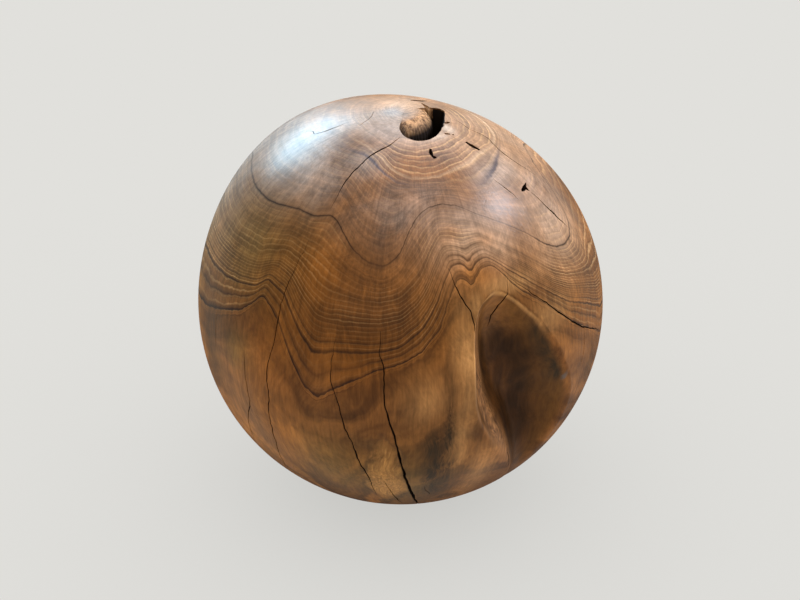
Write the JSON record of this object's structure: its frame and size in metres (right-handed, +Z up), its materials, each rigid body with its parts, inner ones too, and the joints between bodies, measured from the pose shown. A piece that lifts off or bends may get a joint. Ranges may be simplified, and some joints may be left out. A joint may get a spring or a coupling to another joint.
{
  "type": "wooden ball",
  "caption": "Large solid wooden ball worked from root wood, with a natural side hollow, a knot hole at the top and drying splits; a free-standing ornament.",
  "frame": {"origin": "centre of the round ball", "axes": "+Z up through the knot hole's side of the ball, -Y towards the front with the main split, +X to the right of the front"},
  "size_m": [0.4506, 0.4501, 0.4543],
  "materials": {
    "oiled_wood": "sanded and oiled to a soft sheen, with dark growth rings and weathered hollows"
  },
  "bodies": {
    "root": {"ball": "oiled_wood"}
  },
  "joints": []
}
